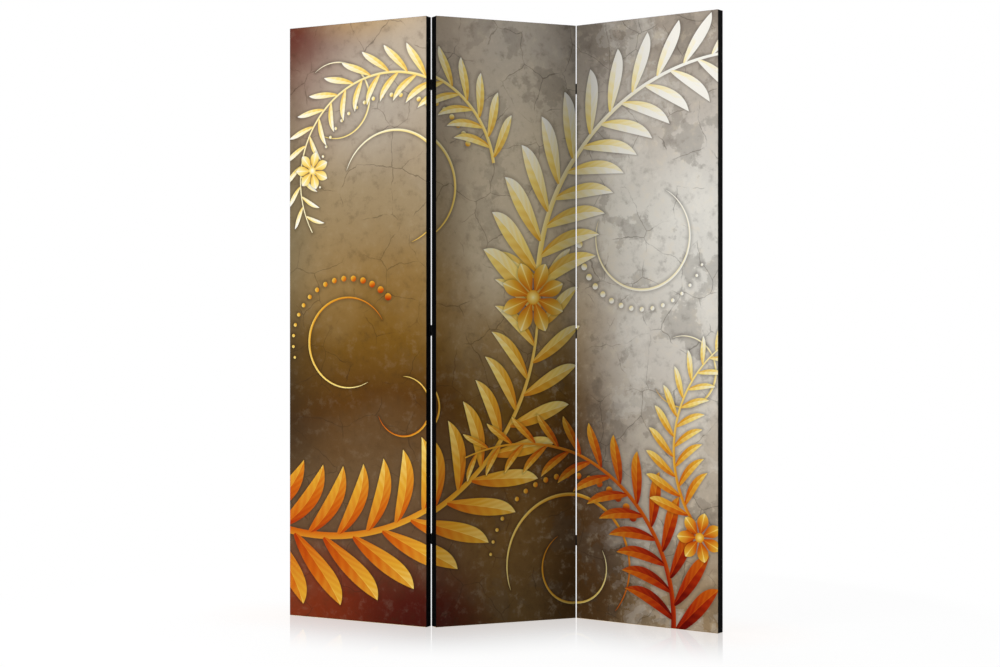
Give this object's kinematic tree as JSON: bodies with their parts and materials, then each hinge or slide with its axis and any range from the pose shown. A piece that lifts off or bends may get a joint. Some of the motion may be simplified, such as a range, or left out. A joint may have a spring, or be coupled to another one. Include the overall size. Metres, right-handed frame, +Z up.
{
  "type": "folding room divider",
  "caption": "Free-standing zigzag folding screen: tall flat framed panels with a printed cloth face and a plain back, joined edge to edge by small butt hinges.",
  "frame": {"origin": "on the floor, under the middle of the centre panel", "axes": "+Z up, +X along the width of the centre panel to the viewer's right, -Y towards the viewer, square to the centre panel's printed face"},
  "size_m": [0.9903, 0.7834, 1.72],
  "materials": {
    "printed_canvas": "matte printed canvas",
    "backing_cloth": "matte woven cloth",
    "edge_tape": "matte woven tape",
    "frame_wood": "planed softwood",
    "hinge_steel": "satin black",
    "screw_steel": "black"
  },
  "bodies": {
    "centre_panel": {"centre_panel_printed_canvas": "printed_canvas", "centre_panel_backing_cloth": "backing_cloth", "centre_panel_edge_tape": "edge_tape", "centre_panel_left_stile": "frame_wood", "centre_panel_right_stile": "frame_wood", "centre_panel_top_rail": "frame_wood", "centre_panel_middle_rail": "frame_wood", "centre_panel_bottom_rail": "frame_wood", "left_top_hinge_pin": "hinge_steel", "left_top_hinge_fixed_leaf": "hinge_steel", "left_top_hinge_fixed_screws": "screw_steel", "left_middle_hinge_pin": "hinge_steel", "left_middle_hinge_fixed_leaf": "hinge_steel", "left_middle_hinge_fixed_screws": "screw_steel", "left_bottom_hinge_pin": "hinge_steel", "left_bottom_hinge_fixed_leaf": "hinge_steel", "left_bottom_hinge_fixed_screws": "screw_steel", "right_top_hinge_pin": "hinge_steel", "right_top_hinge_fixed_leaf": "hinge_steel", "right_top_hinge_fixed_screws": "screw_steel", "right_middle_hinge_pin": "hinge_steel", "right_middle_hinge_fixed_leaf": "hinge_steel", "right_middle_hinge_fixed_screws": "screw_steel", "right_bottom_hinge_pin": "hinge_steel", "right_bottom_hinge_fixed_leaf": "hinge_steel", "right_bottom_hinge_fixed_screws": "screw_steel"},
    "left_panel": {"left_panel_printed_canvas": "printed_canvas", "left_panel_backing_cloth": "backing_cloth", "left_panel_edge_tape": "edge_tape", "left_panel_left_stile": "frame_wood", "left_panel_right_stile": "frame_wood", "left_panel_top_rail": "frame_wood", "left_panel_middle_rail": "frame_wood", "left_panel_bottom_rail": "frame_wood", "left_top_hinge_moving_leaf": "hinge_steel", "left_top_hinge_moving_screws": "screw_steel", "left_middle_hinge_moving_leaf": "hinge_steel", "left_middle_hinge_moving_screws": "screw_steel", "left_bottom_hinge_moving_leaf": "hinge_steel", "left_bottom_hinge_moving_screws": "screw_steel"},
    "right_panel": {"right_panel_printed_canvas": "printed_canvas", "right_panel_backing_cloth": "backing_cloth", "right_panel_edge_tape": "edge_tape", "right_panel_left_stile": "frame_wood", "right_panel_right_stile": "frame_wood", "right_panel_top_rail": "frame_wood", "right_panel_middle_rail": "frame_wood", "right_panel_bottom_rail": "frame_wood", "right_top_hinge_moving_leaf": "hinge_steel", "right_top_hinge_moving_screws": "screw_steel", "right_middle_hinge_moving_leaf": "hinge_steel", "right_middle_hinge_moving_screws": "screw_steel", "right_bottom_hinge_moving_leaf": "hinge_steel", "right_bottom_hinge_moving_screws": "screw_steel"}
  },
  "joints": [
    {"name": "left_fold", "type": "hinge", "parent": "centre_panel", "child": "left_panel", "pos_m": [-0.2257, 0.0154, 0.86], "axis": [0, 0, -1], "range_deg": [-53, 127]},
    {"name": "right_fold", "type": "hinge", "parent": "centre_panel", "child": "right_panel", "pos_m": [0.2257, -0.0154, 0.86], "axis": [0, 0, -1], "range_deg": [-61, 119]}
  ]
}
